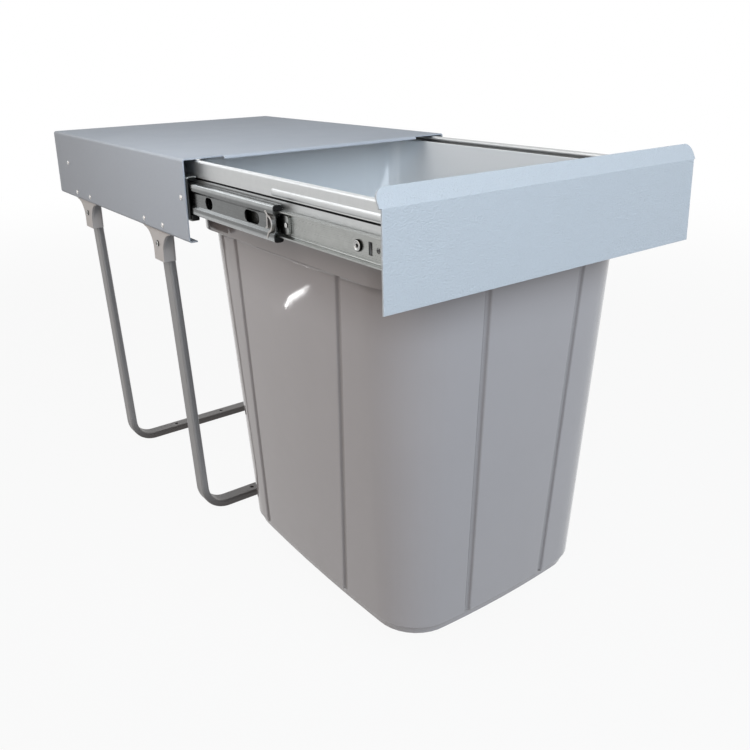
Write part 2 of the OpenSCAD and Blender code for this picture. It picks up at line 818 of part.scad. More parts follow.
module loft(rings) {
    n = len(rings[0]);
    last = (len(rings) - 1) * n;
    bands = [for (i = [0 : len(rings) - 2], j = [0 : n - 1]) let (k = (j + 1) % n, a = i * n, b = a + n)
        each [[a + j, b + j, b + k], [a + j, b + k, a + k]]];
    polyhedron(
        points = [for (one = rings) each one],
        faces = concat(bands, [[for (j = [0 : n - 1]) j]], [[for (j = [n - 1 : -1 : 0]) last + j]]));
}

module bin() {
    w = bin_wall;
    e = edge_r;
    lap = e / 2;
    color([0.6, 0.58, 0.57])
    translate([0, bin_y - pulled, 0])
    loft([
        ring(foot_hx - e, foot_hy - e, foot_r, bin_lift, bow, 0),
        ring(foot_hx, foot_hy, foot_r, bin_lift + e, bow, 0),
        ring(foot_hx, foot_hy, foot_r, wall_low - lap, bow, 0),
        ring(base_hx - e, base_hy - e, base_r, wall_low, bow, flute_d),
        ring(base_hx, base_hy, base_r, wall_low + e + lap, bow, flute_d),
        ring(wall_hx, wall_hy, wall_r, collar_low - flute_fade, bow, flute_d),
        ring(wall_hx, wall_hy, wall_r, collar_low - shelf_h, bow, 0),
        ring(low_hx, low_hy, collar_r, collar_low, 0, 0),
        ring(top_hx, top_hy, collar_r, rim_top - rim_t - e, 0, 0),
        ring(top_hx + e, top_hy + e, collar_r, rim_top - rim_t, 0, 0),
        ring(rim_hx, rim_hy, rim_r, rim_top - rim_t, 0, 0),
        ring(rim_hx, rim_hy, rim_r, rim_top - e, 0, 0),
        ring(rim_hx - e, rim_hy - e, rim_r, rim_top, 0, 0),
        ring(top_hx - w + e, top_hy - w + e, collar_r, rim_top, 0, 0),
        ring(top_hx - w, top_hy - w, collar_r, rim_top - e, 0, 0),
        ring(low_hx - w, low_hy - w, collar_r, collar_low + w - shelf_h, 0, 0),
        ring(wall_hx - w, wall_hy - w, wall_r, collar_low - shelf_h, bow, 0),
        ring(wall_hx - w, wall_hy - w, wall_r, collar_low - flute_fade, bow, flute_d),
        ring(base_hx - w, base_hy - w, base_r, wall_low + w, bow, flute_d),
        ring(foot_hx - w, foot_hy - w, foot_r, wall_low + w - lap, bow, 0),
        ring(foot_hx - w, foot_hy - w, foot_r, bin_lift + w + lap, bow, 0)
    ]);
}

cover();
leg(-leg_span / 2);  // leg_front
leg(leg_span / 2);  // leg_rear
bracket(-leg_span / 2, false);  // bracket_front_l
bracket(-leg_span / 2, true);  // bracket_front_r
bracket(leg_span / 2, false);  // bracket_rear_l
bracket(leg_span / 2, true);  // bracket_rear_r
socket_screws();
rivets(false);  // rivets_l
rivets(true);  // rivets_r
outer(false);  // outer_l
outer(true);  // outer_r
stop(false);  // stop_l
stop(true);  // stop_r
mid(false);  // mid_l
mid(true);  // mid_r
end_piece(false);  // end_piece_l
end_piece(true);  // end_piece_r
catch(false);  // catch_l
catch(true);  // catch_r
cage_outer(false);  // cage_outer_l
cage_outer(true);  // cage_outer_r
cage_inner(false);  // cage_inner_l
cage_inner(true);  // cage_inner_r
inner(false);  // inner_l
inner(true);  // inner_r
lever(false);  // lever_l
lever(true);  // lever_r
rail(false);  // rail_l
rail(true);  // rail_r
rail_screws(false);  // rail_screws_l
rail_screws(true);  // rail_screws_r
rear_bar();
panel();
bin();
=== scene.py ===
# Pull out bin frame: finishes, the moulded bin and the screws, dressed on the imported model.
import json
import math

import bpy
from mathutils import Matrix, Vector


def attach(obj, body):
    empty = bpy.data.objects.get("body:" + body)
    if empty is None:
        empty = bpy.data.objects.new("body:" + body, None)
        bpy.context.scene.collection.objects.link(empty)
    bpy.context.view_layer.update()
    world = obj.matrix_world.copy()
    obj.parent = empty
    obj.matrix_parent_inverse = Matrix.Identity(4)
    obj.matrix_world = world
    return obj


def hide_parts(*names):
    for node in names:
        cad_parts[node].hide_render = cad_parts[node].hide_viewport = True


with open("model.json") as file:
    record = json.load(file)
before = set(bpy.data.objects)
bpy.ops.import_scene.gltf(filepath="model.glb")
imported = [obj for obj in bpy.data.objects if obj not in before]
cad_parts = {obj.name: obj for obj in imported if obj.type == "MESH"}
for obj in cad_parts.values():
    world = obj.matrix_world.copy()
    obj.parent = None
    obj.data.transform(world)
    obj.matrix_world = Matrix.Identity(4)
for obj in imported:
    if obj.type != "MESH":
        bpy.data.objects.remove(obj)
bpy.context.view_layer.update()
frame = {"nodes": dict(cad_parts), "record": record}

NODES = frame["nodes"]
SIDES = {"l": -1, "r": 1}


def colour(red, green, blue):
    return (red, green, blue, 1.0)


WHITE = colour(1.0, 1.0, 1.0)

# Camera at the photograph's viewing angle, in metres, degrees and millimetres
CAMERA_PLACE = (-0.4959, -0.9770, 0.5505)
CAMERA_TURN = -36.23
CAMERA_TILT = -17.14
CAMERA_ROLL = -1.27
CAMERA_LENS = 38.77
CAMERA_SENSOR = 36.0
CAMERA_SHIFT_Y = -0.1

# The room's light on the object
WORLD_LEVEL = 0.28

# The floor: its grey in the light, the share of white it shows near the object, and where that fades to all white
FLOOR_SIZE = 60.0
FLOOR_LEVEL = -0.0005
FLOOR_TONE = 0.30
FLOOR_ROUGHNESS = 0.9
FLOOR_GLOW = 0.93
FLOOR_FADE = (0.9, 2.6)

# Soft lamps: where each stands and aims, its width and height, its power in watts and its tint
LAMPS = {
    # Over the cover's front left corner
    "over_lamp": dict(place=(-0.42, -0.25, 0.80), aim=(-0.05, -0.15, 0.45), size=(0.35, 0.35), power=1.45,
                      tint=(0.95, 0.98, 1.0)),
    # Cool, on the panel and the bin's front
    "front_lamp": dict(place=(-0.1, -1.75, 1.0), aim=(0.0, -0.5, 0.3), size=(1.5, 1.5), power=30.0,
                       tint=(0.76, 0.88, 1.0)),
    # Warm, on the slides, the legs and the bin's left wall
    "left_lamp": dict(place=(-2.4, -0.5, 1.35), aim=(-0.1, -0.3, 0.3), size=(3.0, 2.4), power=32.0,
                      tint=(1.0, 0.87, 0.76)),
    # A long strip high up behind, for the cover's top and the rear
    "rear_lamp": dict(place=(-0.5, 2.2, 1.45), aim=(-0.5, 0.0, 1.45), size=(4.2, 0.34), power=12.0,
                      tint=(0.93, 0.97, 1.0)),
    # A fill for the right side
    "right_lamp": dict(place=(2.4, 0.45, 0.75), aim=(0.0, -0.1, 0.3), size=(1.6, 1.6), power=22.0,
                       tint=(1.0, 0.97, 0.94)),
    # A small, weak strip near the floor, for the highlight on the bin's left wall
    "low_lamp": dict(place=(-0.541, 0.350, 0.04), aim=(-0.749, -0.628, 0.44), size=(0.10, 0.008), power=0.04,
                     tint=(1.0, 1.0, 1.0)),
}

# Screws and pins, in metres: heads and shanks are a radius and a length, faces are measured from the middle plane
SLIDE_LEVEL = 0.4123
DRAWER_SCREW_FACE = 0.1580
DRAWER_SCREW_PLACES = (-0.4965, -0.1750)
DRAWER_SCREW_HEAD = (0.0048, 0.0020)
DRAWER_SCREW_SHANK = (0.00174, 0.0024)
LEVER_PIN_FACE = 0.1612
LEVER_PIN_PLACE = -0.3965
LEVER_PIN_HEAD = (0.0023, 0.0006)
LEVER_PIN_SHANK = (0.00184, 0.0056)
SOCKET_SCREW_FACE = 0.1680
SOCKET_SCREW_PLACES = (-0.121, 0.121)
SOCKET_SCREW_LEVEL = 0.350
SOCKET_SCREW_HEAD = (0.0034, 0.0015)
SOCKET_SCREW_SHANK = (0.00174, 0.0100)
SCREW_ENDS = ("front", "rear")

# The form of a head: its facets, rounding and smooth angle, and the dish and cross of a screw, in shares of the
# head's radius or height and in degrees
HEAD_SIDES = 40
HEAD_ROUND = 0.7
HEAD_STEPS = 5
HEAD_PROFILE = 0.55
HEAD_SMOOTH = 40.0
DISH_INSET = 0.12
DISH_DEPTH = 0.3
DISH_TAPER = 0.85
CROSS_ARM = (1.15, 0.26, 1.4)
CROSS_TURN = 20.0
CROSS_TAPER = 0.45

# Faces and corners of a head: how far a normal points up or down, and from what share of the height it is the top
LOOKS_UP = 0.99
LOOKS_DOWN = -0.9
HEAD_TOP = 0.99

# The moulded bin, in metres and degrees: how its faces are merged, which edges are rounded and by how much, and its
# smooth angle
BIN_WELD = 0.00002
BIN_FLAT = 60.0
BIN_SKEW = 180.0
FLUTE_SHARP = 25.0
FLUTE_LENGTH = 0.2
FLUTE_ROUND = 0.0012
FLUTE_STEPS = 4
BIN_SMOOTH = 35.0

# The bin's upright middle line at rest, and how far a face leans towards it before it counts as inside, where the
# paler painted light goes
BIN_MIDDLE = (0.0, -0.349, 0.0)
INWARD_LEAN = -0.01

# Painted shade in the bin's creases: how far a hollow looks around itself, from what share of open sky it darkens,
# and the tone of the shade
CREASE_REACH = 0.009
CREASE_RANGE = (0.98, 0.74)
CREASE_SHADE_TONE = colour(0.185, 0.170, 0.170)

# Painted shade on the bin's collar, under the slides and rails: between which levels it rises, how thick it gets,
# and its tone
COLLAR_SHADE_FADE = (0.318, 0.385)
COLLAR_SHADE_MOST = 0.55
COLLAR_SHADE_TONE = colour(0.13, 0.108, 0.102)

# Sprayed coats: their clouds and flakes, how far clouds lift the tone, rubbed edges, dust, and the spread of gloss
COAT_CLOUDS = dict(Cloud_Scale=5.0, Grain_Scale=1500.0)
COAT_LIFT = 0.25
COAT_RUB = dict(Width=0.0011, Breakup_Scale=180.0)
COAT_DUST = dict(Amount=0.12, Patch_Scale=18.0)
COAT_DUST_TONE = colour(0.80, 0.80, 0.78)
COAT_GLOSS = (-0.05, 0.07)
COAT_PIMPLE = 0.4
COAT_EDGE = 0.0006

# Painted dark reflection on the legs' lower runs: how high it reaches, how thick it is at the floor, and its tone
LEG_REFLECTION_TOP = 0.045
LEG_REFLECTION_MOST = 0.85
LEG_REFLECTION_TONE = colour(0.055, 0.046, 0.042)

# Moulded plastic: its clouds, dust, spread of gloss, top coat and skin
PLASTIC_CLOUDS = dict(Cloud_Scale=7.0, Grain_Scale=700.0)
PLASTIC_DUST_PATCH = 22.0
PLASTIC_DUST_TONE = colour(0.70, 0.69, 0.67)
PLASTIC_GLOSS = (-0.03, 0.05)
PLASTIC_COAT_ROUGHNESS = 0.05
PLASTIC_PIMPLE = 0.2
PLASTIC_EDGE = 0.0005

# Zinc plate: its spangle, how far that lifts the tone, the black painted shade on it, and the spread of gloss
SPANGLE_SCALE = 210.0
SPANGLE_LIFT = 0.40
ZINC_SHADE_TONE = colour(0.012, 0.012, 0.011)
ZINC_GLOSS = (-0.08, 0.10)

# Painted shade in the groove along the rails: its outer skin, and its lower and upper level
GROOVE_SKIN = 0.1577
GROOVE_LEVELS = (0.4306, 0.4331)

# The front ends of the outer members, painted near black as shade: where they begin, and half their height
OUTER_END = -0.2145
OUTER_HALF = 0.0205

# Painted shade on the middle members' webs, which lie deep between their flanges: half its height with and without
# the fade, and how thick it is
WEB_FADE = (0.0132, 0.0108)
WEB_MOST = 0.60

# Where the painted shadow on a lever's hub goes from bright to black, and the painted shade in the middle and
# around the edge of the drawer's screw heads
LEVER_SHADOW_FADE = (-0.3985, -0.3930)
SCREW_SHADE_REACH = (0.0016, 0.0042)

# How far the rim of a rivet or screw looks sideways where its painted shade starts, and where it is full
RIM_TURN = (0.86, 0.60)

# Rubbed edges: how far an edge bends where wear starts and is full, and which noise breaks it up
WEAR_BEND = (0.99, 0.9)
WEAR_BREAK = (0.35, 0.65)

# How many rays feel for a rubbed edge, a rounded edge and the painted shade in a crease
WEAR_SAMPLES = 4
EDGE_SAMPLES = 6
CREASE_SAMPLES = 6

# The finer pimples on a coat, in shares of its peel
PIMPLE_SCALE = 3.1


# Small helpers for shader trees

def add_node(tree, kind, inputs=None, **settings):
    """A new shader node with its settings and its unlinked input values."""
    made = tree.nodes.new(kind)
    for name, value in settings.items():
        setattr(made, name, value)
    for socket, value in (inputs or {}).items():
        made.inputs[socket].default_value = value
    return made


def link(tree, source, target):
    tree.links.new(source, target)


def feed(tree, value, target):
    """Puts a number or a colour on a socket, or links another socket to it."""
    if isinstance(value, (int, float, tuple)):
        target.default_value = value
    else:
        link(tree, value, target)


def new_group(name, inputs, outputs, kind="NodeSocketFloat"):
    """An empty shader group with named float inputs and named outputs of a kind, and its two end nodes."""
    tree = bpy.data.node_groups.new(name, "ShaderNodeTree")
    for socket, default in inputs:
        made = tree.interface.new_socket(socket, in_out="INPUT", socket_type="NodeSocketFloat")
        made.default_value = default
    for socket in outputs:
        tree.interface.new_socket(socket, in_out="OUTPUT", socket_type=kind)
    return tree, add_node(tree, "NodeGroupInput"), add_node(tree, "NodeGroupOutput")


def object_place(tree):
    return add_node(tree, "ShaderNodeTexCoord").outputs["Object"]


def true_normal(tree):
    return add_node(tree, "ShaderNodeNewGeometry").outputs["Normal"]


def axes_of(tree, vector):
    """The X, Y and Z of a place or a normal."""
    parts = add_node(tree, "ShaderNodeSeparateXYZ")
    link(tree, vector, parts.inputs["Vector"])
    return parts.outputs


def math_node(tree, operation, first, second=0.0, clamp=False):
    """A Math node; each side is a socket or a number."""
    made = add_node(tree, "ShaderNodeMath", operation=operation, use_clamp=clamp)
    feed(tree, first, made.inputs[0])
    feed(tree, second, made.inputs[1])
    return made.outputs["Value"]


def vector_node(tree, operation, first, second):
    """A Vector Math node; the second side is a socket or three numbers."""
    made = add_node(tree, "ShaderNodeVectorMath", operation=operation)
    link(tree, first, made.inputs[0])
    feed(tree, second, made.inputs[1])
    return made.outputs["Value" if operation == "DOT_PRODUCT" else "Vector"]


def noise(tree, place, scale, detail=3.0, roughness=0.55):
    """Noise over a place; the scale is a socket or a number."""
    made = add_node(tree, "ShaderNodeTexNoise", {"Detail": detail, "Roughness": roughness})
    link(tree, place, made.inputs["Vector"])
    feed(tree, scale, made.inputs["Scale"])
    return made.outputs["Fac"]


def spread(tree, value, low, high):
    """A 0 to 1 value stretched to low to high."""
    made = add_node(tree, "ShaderNodeMapRange", {"To Min": low, "To Max": high})
    link(tree, value, made.inputs["Value"])
    return made.outputs["Result"]


def ramp(tree, value, ends, most=1.0, kind="LINEAR"):
    """0 up to the first of two ends and `most` past the second; the first may be the larger."""
    made = add_node(tree, "ShaderNodeMapRange", {"From Min": ends[0], "From Max": ends[1], "To Max": most},
                    interpolation_type=kind)
    link(tree, value, made.inputs["Value"])
    return made.outputs["Result"]


def eased(tree, value, ends, most=1.0):
    """A ramp with a smooth start and end."""
    return ramp(tree, value, ends, most, "SMOOTHSTEP")


def mix_colours(tree, factor, first, second):
    """A colour that goes from the first to the second; each is a colour or a socket."""
    mixed = add_node(tree, "ShaderNodeMix", data_type="RGBA")
    link(tree, factor, mixed.inputs[0])
    feed(tree, first, mixed.inputs[6])
    feed(tree, second, mixed.inputs[7])
    return mixed.outputs[2]


# Effects that several finishes share

def cloudy_tone_group():
    """Slow clouds and a fine grain, both from 0 to 1."""
    tree, start, end = new_group("cloudy_tone", [("Cloud Scale", 6.0), ("Grain Scale", 900.0)], ["Cloud", "Grain"])
    place = object_place(tree)
    link(tree, noise(tree, place, start.outputs["Cloud Scale"], 4.0), end.inputs["Cloud"])
    link(tree, noise(tree, place, start.outputs["Grain Scale"], 2.0), end.inputs["Grain"])
    return tree


def coat_skin_group():
    """Height of a sprayed coat: a soft peel with a finer pimple on it."""
    tree, start, end = new_group("coat_skin", [("Peel Scale", 420.0), ("Pimple", 0.35)], ["Height"])
    place = object_place(tree)
    peel = noise(tree, place, start.outputs["Peel Scale"], 2.0, 0.45)
    fine_scale = math_node(tree, "MULTIPLY", start.outputs["Peel Scale"], PIMPLE_SCALE)
    fine = noise(tree, place, fine_scale, 1.0)
    weighted = math_node(tree, "MULTIPLY", fine, start.outputs["Pimple"])
    link(tree, math_node(tree, "ADD", peel, weighted), end.inputs["Height"])
    return tree


def rolled_sheet_group():
    """Streaks along the rolling direction of a strip, and the spangle of its zinc."""
    tree, start, end = new_group("rolled_sheet", [("Across", 900.0), ("Along", 9.0), ("Spangle", 160.0)],
                                 ["Streak", "Spangle"])
    place = object_place(tree)
    stretch = add_node(tree, "ShaderNodeCombineXYZ")
    for axis, socket in (("X", "Across"), ("Y", "Along"), ("Z", "Across")):
        link(tree, start.outputs[socket], stretch.inputs[axis])
    drawn = vector_node(tree, "MULTIPLY", place, stretch.outputs["Vector"])
    link(tree, noise(tree, drawn, 1.0, 5.0, 0.6), end.inputs["Streak"])
    cells = add_node(tree, "ShaderNodeTexVoronoi", feature="F1")
    link(tree, place, cells.inputs["Vector"])
    link(tree, start.outputs["Spangle"], cells.inputs["Scale"])
    tone = add_node(tree, "ShaderNodeSeparateColor")
    link(tree, cells.outputs["Color"], tone.inputs["Color"])
    link(tree, tone.outputs["Red"], end.inputs["Spangle"])
    return tree


def worn_edge_group():
    """A mask that is 1 on outer edges, broken up by noise."""
    tree, start, end = new_group("worn_edge", [("Width", 0.0012), ("Breakup Scale", 140.0)], ["Mask"])
    soft = add_node(tree, "ShaderNodeBevel", samples=WEAR_SAMPLES)
    link(tree, start.outputs["Width"], soft.inputs["Radius"])
    bend = vector_node(tree, "DOT_PRODUCT", soft.outputs["Normal"], true_normal(tree))
    edge = ramp(tree, bend, WEAR_BEND)
    patches = noise(tree, object_place(tree), start.outputs["Breakup Scale"], 4.0)
    broken = ramp(tree, patches, WEAR_BREAK)
    link(tree, math_node(tree, "MULTIPLY", edge, broken), end.inputs["Mask"])
    return tree


def soft_edge_group():
    """The surface's normal with its sharp edges rounded."""
    tree, start, end = new_group("soft_edge", [("Radius", 0.0005)], ["Normal"], "NodeSocketVector")
    soft = add_node(tree, "ShaderNodeBevel", samples=EDGE_SAMPLES)
    link(tree, start.outputs["Radius"], soft.inputs["Radius"])
    link(tree, soft.outputs["Normal"], end.inputs["Normal"])
    return tree


def settled_dust_group():
    """A thin film of dust on faces that look up, in patches."""
    tree, start, end = new_group("settled_dust", [("Amount", 0.3), ("Patch Scale", 14.0)], ["Mask"])
    upward = math_node(tree, "MAXIMUM", axes_of(tree, true_normal(tree))["Z"], 0.0)
    patches = noise(tree, object_place(tree), start.outputs["Patch Scale"], 6.0)
    film = math_node(tree, "MULTIPLY", upward, patches)
    link(tree, math_node(tree, "MULTIPLY", film, start.outputs["Amount"], clamp=True), end.inputs["Mask"])
    return tree


GROUPS = {
    "cloudy_tone": cloudy_tone_group(),
    "coat_skin": coat_skin_group(),
    "rolled_sheet": rolled_sheet_group(),
    "worn_edge": worn_edge_group(),
    "soft_edge": soft_edge_group(),
    "settled_dust": settled_dust_group(),
}


def place_group(tree, name, **values):
    """A shared effect in a material, with that material's own values."""
    made = add_node(tree, "ShaderNodeGroup")
    made.node_tree = GROUPS[name]
    for socket, value in values.items():
        made.inputs[socket.replace("_", " ")].default_value = value
    return made.outputs


def new_finish(name):
    """A material with its Principled shader, linked to the output."""
    finish = bpy.data.materials.new(name)
    finish.use_nodes = True
    tree = finish.node_tree
    tree.nodes.clear()
    shader = add_node(tree, "ShaderNodeBsdfPrincipled")
    link(tree, shader.outputs["BSDF"], add_node(tree, "ShaderNodeOutputMaterial").inputs["Surface"])
    return finish, tree, shader


def set_gloss(tree, shader, value, roughness, stray):
    """The shader's roughness, which strays from its middle with a 0 to 1 value."""
    link(tree, spread(tree, value, roughness + stray[0], roughness + stray[1]), shader.inputs["Roughness"])


def bump(tree, shader, height, distance, edge_radius):
    """A bump over rounded edges, into the shader's normal."""
    made = add_node(tree, "ShaderNodeBump", {"Distance": distance})
    link(tree, height, made.inputs["Height"])
    link(tree, place_group(tree, "soft_edge", Radius=edge_radius)["Normal"], made.inputs["Normal"])
    link(tree, made.outputs["Normal"], shader.inputs["Normal"])


# Masks: where painted shade, a painted shadow, a painted dark reflection and painted light lie

def off_slide_middle(tree, level):
    """How far a level is above or below the slides' middle line."""
    return math_node(tree, "ABSOLUTE", math_node(tree, "SUBTRACT", level, SLIDE_LEVEL))


def leg_reflection_mask(tree):
    """Rises towards the floor, for the painted dark reflection on the legs' lower runs."""
    return eased(tree, axes_of(tree, object_place(tree))["Z"], (LEG_REFLECTION_TOP, 0.0), LEG_REFLECTION_MOST)


def groove_shade_mask(tree):
    """1 inside the groove along the rails, behind their outer skin, where painted shade goes."""
    place = axes_of(tree, object_place(tree))
    depth = math_node(tree, "LESS_THAN", math_node(tree, "ABSOLUTE", place["X"]), GROOVE_SKIN)
    over = math_node(tree, "GREATER_THAN", place["Z"], GROOVE_LEVELS[0])
    under = math_node(tree, "LESS_THAN", place["Z"], GROOVE_LEVELS[1])
    return math_node(tree, "MULTIPLY", depth, math_node(tree, "MULTIPLY", over, under))


def end_shade_mask(tree):
    """1 on the standing front ends of the outer members, between their flanges, which are painted near black as
    shade.
    """
    place = axes_of(tree, object_place(tree))
    ahead = math_node(tree, "LESS_THAN", place["Y"], OUTER_END)
    between = math_node(tree, "LESS_THAN", off_slide_middle(tree, place["Z"]), OUTER_HALF)
    return math_node(tree, "MULTIPLY", ahead, between)


def web_shade_mask(tree):
    """Rises over the webs of the middle members, which are painted darker as shade between their flanges."""
    level = axes_of(tree, object_place(tree))["Z"]
    return eased(tree, off_slide_middle(tree, level), WEB_FADE, WEB_MOST)


def lever_shadow_mask(tree):
    """0 at the front of a lever's hub, rising to 1 towards its arm, for a painted shadow from the end piece."""
    return eased(tree, axes_of(tree, object_place(tree))["Y"], LEVER_SHADOW_FADE)


def screw_shade_mask(tree):
    """1 in the middle and around the edge of the drawer's screw heads, where painted shade goes."""
    place = axes_of(tree, object_place(tree))
    middle = sum(DRAWER_SCREW_PLACES) / 2
    half = DRAWER_SCREW_PLACES[1] - middle
    along = math_node(tree, "ABSOLUTE", math_node(tree, "SUBTRACT", place["Y"], middle))
    off_screw = math_node(tree, "SUBTRACT", along, half)
    height = math_node(tree, "SUBTRACT", place["Z"], SLIDE_LEVEL)
    squares = [math_node(tree, "MULTIPLY", run, run) for run in (off_screw, height)]
    reach = math_node(tree, "SQRT", math_node(tree, "ADD", *squares))
    inner = math_node(tree, "LESS_THAN", reach, SCREW_SHADE_REACH[0])
    outer = math_node(tree, "GREATER_THAN", reach, SCREW_SHADE_REACH[1])
    return math_node(tree, "MAXIMUM", inner, outer)


def rim_shade_mask(tree):
    """1 on the turned-down rims of rivets and screws, which are painted dark as shade, and 0 on their crowns, which
    look sideways.
    """
    sideways = math_node(tree, "ABSOLUTE", axes_of(tree, true_normal(tree))["X"])
    return ramp(tree, sideways, RIM_TURN)


def inward_mask(tree):
    """1 on the bin's faces that look towards its upright middle line, which take the paler painted light, and 0 on
    the others.
    """
    from_middle = vector_node(tree, "SUBTRACT", object_place(tree), BIN_MIDDLE)
    level_run = vector_node(tree, "MULTIPLY", from_middle, (1.0, 1.0, 0.0))
    facing = vector_node(tree, "DOT_PRODUCT", level_run, true_normal(tree))
    return math_node(tree, "LESS_THAN", facing, INWARD_LEAN)


def crease_shade_mask(tree):
    """Rises to 1 in the bin's flutes and other hollow creases, which are painted darker as shade."""
    open_sky = add_node(tree, "ShaderNodeAmbientOcclusion", {"Distance": CREASE_REACH}, samples=CREASE_SAMPLES,
                        only_local=True)
    return ramp(tree, open_sky.outputs["AO"], CREASE_RANGE)


def collar_shade_mask(tree):
    """Rises over the bin's collar, where painted shade lies under the slides and rails."""
    return eased(tree, axes_of(tree, object_place(tree))["Z"], COLLAR_SHADE_FADE, COLLAR_SHADE_MOST)


# Finishes

def sprayed_steel(name, dark, light, bare, roughness, metallic, peel_scale, peel_depth, wear=0.5, spec=0.5,
                  painted_dark=None):
    """Sheet or tube with a sprayed metallic coat, paler at its rubbed edges and darker where a mask says, as a
    painted dark reflection.
    """
    finish, tree, shader = new_finish(name)
    tone = place_group(tree, "cloudy_tone", **COAT_CLOUDS)
    flake = mix_colours(tree, tone["Grain"], dark, light)
    tinted = mix_colours(tree, spread(tree, tone["Cloud"], 0.0, COAT_LIFT), flake, light)
    rubbed = math_node(tree, "MULTIPLY", place_group(tree, "worn_edge", **COAT_RUB)["Mask"], wear)
    tinted = mix_colours(tree, rubbed, tinted, bare)
    dust = place_group(tree, "settled_dust", **COAT_DUST)
    tinted = mix_colours(tree, dust["Mask"], tinted, COAT_DUST_TONE)
    if painted_dark:
        # Painted dark reflection: darker where the mask says
        tinted = mix_colours(tree, painted_dark(tree), tinted, LEG_REFLECTION_TONE)
    link(tree, tinted, shader.inputs["Base Color"])
    shader.inputs["Metallic"].default_value = metallic
    shader.inputs["Specular IOR Level"].default_value = spec
    set_gloss(tree, shader, tone["Cloud"], roughness, COAT_GLOSS)
    skin = place_group(tree, "coat_skin", Peel_Scale=peel_scale, Pimple=COAT_PIMPLE)
    bump(tree, shader, skin["Height"], peel_depth, COAT_EDGE)
    return finish


def zinc_plate(name, dark, light, roughness, across, along, depth, painted_dark=None, edge=0.0004):
    """Rolled and zinc plated strip, with drawn streaks, a faint spangle and black painted shade where a mask says.
    """
    finish, tree, shader = new_finish(name)
    sheet = place_group(tree, "rolled_sheet", Across=across, Along=along, Spangle=SPANGLE_SCALE)
    streaked = mix_colours(tree, sheet["Streak"], dark, light)
    tinted = mix_colours(tree, spread(tree, sheet["Spangle"], 0.0, SPANGLE_LIFT), streaked, light)
    if painted_dark:
        # Painted shade: near black where the mask says
        tinted = mix_colours(tree, painted_dark(tree), tinted, ZINC_SHADE_TONE)
    link(tree, tinted, shader.inputs["Base Color"])
    shader.inputs["Metallic"].default_value = 1.0
    set_gloss(tree, shader, sheet["Streak"], roughness, ZINC_GLOSS)
    bump(tree, shader, sheet["Streak"], depth, edge)
    return finish


def moulded_plastic(name, dark, light, roughness, skin_scale, skin_depth, coat=0.0, dusting=0.18, spec=0.5,
                    painted_light_inside=None):
    """Injection moulded plastic with a faintly uneven skin and a little dust; on a bin, painted shade darkens the
    creases and the collar, and the inside is painted paler as painted light.
    """
    finish, tree, shader = new_finish(name)
    tone = place_group(tree, "cloudy_tone", **PLASTIC_CLOUDS)
    tinted = mix_colours(tree, tone["Cloud"], dark, light)
    if painted_light_inside:
        # Painted shade in the creases
        tinted = mix_colours(tree, crease_shade_mask(tree), tinted, CREASE_SHADE_TONE)
        # Painted shade on the collar
        tinted = mix_colours(tree, collar_shade_mask(tree), tinted, COLLAR_SHADE_TONE)
        # Painted light: the inside is painted paler
        tinted = mix_colours(tree, inward_mask(tree), tinted, painted_light_inside)
    dust = place_group(tree, "settled_dust", Amount=dusting, Patch_Scale=PLASTIC_DUST_PATCH)
    tinted = mix_colours(tree, dust["Mask"], tinted, PLASTIC_DUST_TONE)
    link(tree, tinted, shader.inputs["Base Color"])
    shader.inputs["Specular IOR Level"].default_value = spec
    shader.inputs["Coat Weight"].default_value = coat
    shader.inputs["Coat Roughness"].default_value = PLASTIC_COAT_ROUGHNESS
    set_gloss(tree, shader, tone["Cloud"], roughness, PLASTIC_GLOSS)
    skin = place_group(tree, "coat_skin", Peel_Scale=skin_scale, Pimple=PLASTIC_PIMPLE)
    bump(tree, shader, skin["Height"], skin_depth, PLASTIC_EDGE)
    return finish


